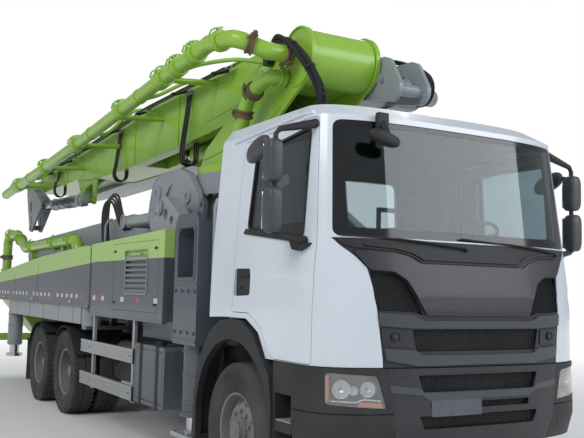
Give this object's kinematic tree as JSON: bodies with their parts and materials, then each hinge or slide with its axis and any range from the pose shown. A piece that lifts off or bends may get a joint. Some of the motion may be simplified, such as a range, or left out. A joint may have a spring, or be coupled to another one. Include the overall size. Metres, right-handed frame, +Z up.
{
  "type": "truck-mounted concrete pump",
  "caption": "Three-axle truck with a folding concrete delivery boom on a slewing turret, side boxes, outriggers, rear hopper and a white forward-control cab.",
  "frame": {"origin": "on the ground under the middle of the truck's length and width", "axes": "+X forward, +Y to the truck's left, +Z up"},
  "size_m": [11.6563, 3, 3.935],
  "materials": {
    "white_paint": "gloss",
    "green_paint": "gloss",
    "slate_paint": "satin",
    "grey_paint": "satin",
    "dark_paint": "satin",
    "dark_plastic": "matt",
    "glass": "clear",
    "lamp": "gloss",
    "tyre": "matt",
    "aluminium": "satin",
    "steel": "polished",
    "engine": "rough",
    "seat": "matt"
  },
  "bodies": {
    "truck": {"frame_rails": "dark_paint", "axles": "dark_paint", "engine_block": "engine", "cab_shell": "white_paint", "windscreen": "glass", "cab_interior": "seat", "front_panel": "dark_plastic", "lamps": "lamp", "arches_and_steps": "dark_plastic", "tanks": "slate_paint", "side_boxes": "slate_paint", "side_guards": "aluminium", "pedestal": "grey_paint", "deck": "slate_paint", "hopper": "green_paint", "hopper_grate": "dark_paint", "pump_unit": "grey_paint", "water_tank": "grey_paint", "deck_pipe": "green_paint", "rest_frame": "grey_paint"},
    "door_right": {"door_right": "white_paint", "door_glass_right": "glass", "mirror_right": "dark_plastic"},
    "steer_right": {"knuckle_right": "dark_paint"},
    "front_wheel_right": {"front_tyre_right": "tyre", "front_rim_right": "grey_paint"},
    "mid_wheels_right": {"mid_tyres_right": "tyre", "mid_rims_right": "grey_paint"},
    "rear_wheels_right": {"rear_tyres_right": "tyre", "rear_rims_right": "grey_paint"},
    "front_leg_right": {"front_leg_right": "slate_paint"},
    "front_jack_right": {"front_jack_right": "steel"},
    "rear_outrigger_right": {"rear_arm_right": "grey_paint"},
    "rear_jack_right": {"rear_jack_right": "steel"},
    "door_left": {"door_left": "white_paint", "door_glass_left": "glass", "mirror_left": "dark_plastic"},
    "steer_left": {"knuckle_left": "dark_paint"},
    "front_wheel_left": {"front_tyre_left": "tyre", "front_rim_left": "grey_paint"},
    "mid_wheels_left": {"mid_tyres_left": "tyre", "mid_rims_left": "grey_paint"},
    "rear_wheels_left": {"rear_tyres_left": "tyre", "rear_rims_left": "grey_paint"},
    "front_leg_left": {"front_leg_left": "slate_paint"},
    "front_jack_left": {"front_jack_left": "steel"},
    "rear_outrigger_left": {"rear_arm_left": "grey_paint"},
    "rear_jack_left": {"rear_jack_left": "steel"},
    "turret": {"turret": "green_paint"},
    "lift_barrel": {"luff_barrel": "grey_paint"},
    "lift_rod": {"luff_rod": "steel"},
    "arm_one": {"arm_1": "green_paint", "arm_1_pipe": "green_paint"},
    "knuckle_barrel": {"knuckle_barrel": "grey_paint"},
    "knuckle_rod": {"knuckle_rod": "steel"},
    "knuckle_lever": {"knuckle_lever": "grey_paint"},
    "arm_two": {"arm_2": "grey_paint"},
    "arm_three": {"arm_3": "grey_paint"},
    "arm_four": {"arm_4": "grey_paint"}
  },
  "joints": [
    {"name": "door_hinge_right", "type": "hinge", "parent": "truck", "child": "door_right", "pos_m": [5.488, -1.203, 1.9], "axis": [0, 0, 1], "range_deg": [0, 68]},
    {"name": "steer_right", "type": "hinge", "parent": "truck", "child": "steer_right", "pos_m": [4.4, -0.875, 0.52], "axis": [0, 0, 1], "range_deg": [-38, 38]},
    {"name": "front_wheel_spin_right", "type": "hinge", "parent": "steer_right", "child": "front_wheel_right", "pos_m": [4.4, -1.065, 0.52], "axis": [0, 1, 0], "continuous": true},
    {"name": "mid_wheels_spin_right", "type": "hinge", "parent": "truck", "child": "mid_wheels_right", "pos_m": [-0.5, -0.909, 0.52], "axis": [0, 1, 0], "continuous": true},
    {"name": "rear_wheels_spin_right", "type": "hinge", "parent": "truck", "child": "rear_wheels_right", "pos_m": [-1.85, -0.909, 0.52], "axis": [0, 1, 0], "continuous": true},
    {"name": "front_leg_slide_right", "type": "slide", "parent": "truck", "child": "front_leg_right", "axis": [0, -1, 0], "range_m": [0, 1.4]},
    {"name": "front_jack_slide_right", "type": "slide", "parent": "front_leg_right", "child": "front_jack_right", "axis": [0, 0, -1], "range_m": [0, 0.6]},
    {"name": "rear_outrigger_swing_right", "type": "hinge", "parent": "truck", "child": "rear_outrigger_right", "pos_m": [0.3, -1.12, 1.25], "axis": [0, 0, 1], "range_deg": [0, 100]},
    {"name": "rear_jack_slide_right", "type": "slide", "parent": "rear_outrigger_right", "child": "rear_jack_right", "axis": [0, 0, -1], "range_m": [0, 0.55]},
    {"name": "door_hinge_left", "type": "hinge", "parent": "truck", "child": "door_left", "pos_m": [5.488, 1.203, 1.9], "axis": [0, 0, -1], "range_deg": [0, 68]},
    {"name": "steer_left", "type": "hinge", "parent": "truck", "child": "steer_left", "pos_m": [4.4, 0.875, 0.52], "axis": [0, 0, 1], "range_deg": [-38, 38]},
    {"name": "front_wheel_spin_left", "type": "hinge", "parent": "steer_left", "child": "front_wheel_left", "pos_m": [4.4, 1.065, 0.52], "axis": [0, 1, 0], "continuous": true},
    {"name": "mid_wheels_spin_left", "type": "hinge", "parent": "truck", "child": "mid_wheels_left", "pos_m": [-0.5, 0.909, 0.52], "axis": [0, 1, 0], "continuous": true},
    {"name": "rear_wheels_spin_left", "type": "hinge", "parent": "truck", "child": "rear_wheels_left", "pos_m": [-1.85, 0.909, 0.52], "axis": [0, 1, 0], "continuous": true},
    {"name": "front_leg_slide_left", "type": "slide", "parent": "truck", "child": "front_leg_left", "axis": [0, 1, 0], "range_m": [0, 1.4]},
    {"name": "front_jack_slide_left", "type": "slide", "parent": "front_leg_left", "child": "front_jack_left", "axis": [0, 0, -1], "range_m": [0, 0.6]},
    {"name": "rear_outrigger_swing_left", "type": "hinge", "parent": "truck", "child": "rear_outrigger_left", "pos_m": [0.3, 1.12, 1.25], "axis": [0, 0, -1], "range_deg": [0, 100]},
    {"name": "rear_jack_slide_left", "type": "slide", "parent": "rear_outrigger_left", "child": "rear_jack_left", "axis": [0, 0, -1], "range_m": [0, 0.55]},
    {"name": "slew", "type": "hinge", "parent": "truck", "child": "turret", "pos_m": [2.4, 0, 2.78], "axis": [0, 0, 1], "range_deg": [-180, 180]},
    {"name": "luff", "type": "hinge", "parent": "turret", "child": "arm_one", "pos_m": [4, -0.14, 3.665], "axis": [0, 1, 0], "range_deg": [0, 85]},
    {"name": "lift_barrel_pivot", "type": "hinge", "parent": "turret", "child": "lift_barrel", "pos_m": [3.3, -0.14, 3.06], "axis": [0, 1, 0], "range_deg": [0, 90.87]},
    {"name": "lift_rod_slide", "type": "slide", "parent": "lift_barrel", "child": "lift_rod", "axis": [-0.9984, 0, 0.0559], "range_m": [0, 1.2593]},
    {"name": "fold_two", "type": "hinge", "parent": "arm_one", "child": "arm_two", "pos_m": [-5.35, 0.2, 3.42], "axis": [0, -1, 0], "range_deg": [0, 180]},
    {"name": "fold_three", "type": "hinge", "parent": "arm_two", "child": "arm_three", "pos_m": [3.9, 0.6, 3.56], "axis": [0, 1, 0], "range_deg": [0, 180]},
    {"name": "fold_four", "type": "hinge", "parent": "arm_three", "child": "arm_four", "pos_m": [-4.7, 0.75, 3.4], "axis": [0, -1, 0], "range_deg": [0, 180]},
    {"name": "knuckle_lever_pivot", "type": "hinge", "parent": "arm_one", "child": "knuckle_lever", "pos_m": [-5.24, -0.62, 3.33], "axis": [0, 1, 0], "range_deg": [0, 40.1]},
    {"name": "knuckle_barrel_pivot", "type": "hinge", "parent": "arm_one", "child": "knuckle_barrel", "pos_m": [-2, -0.62, 2.88], "axis": [0, -1, 0], "range_deg": [0, 12.6]},
    {"name": "knuckle_rod_slide", "type": "slide", "parent": "knuckle_barrel", "child": "knuckle_rod", "axis": [-0.9994, 0, 0.0346], "range_m": [0, 0.4413]}
  ],
  "couplings": [
    {"joint": "steer_left", "follows": "steer_right", "ratio": 1},
    {"joint": "lift_barrel_pivot", "follows": "luff", "ratio": 1.0632},
    {"joint": "lift_rod_slide", "follows": "luff", "m_per_rad": 0.84681},
    {"joint": "knuckle_lever_pivot", "follows": "fold_two", "ratio": 0.22222},
    {"joint": "knuckle_barrel_pivot", "follows": "fold_two", "ratio": 0.068324},
    {"joint": "knuckle_rod_slide", "follows": "fold_two", "m_per_rad": 0.13952}
  ]
}
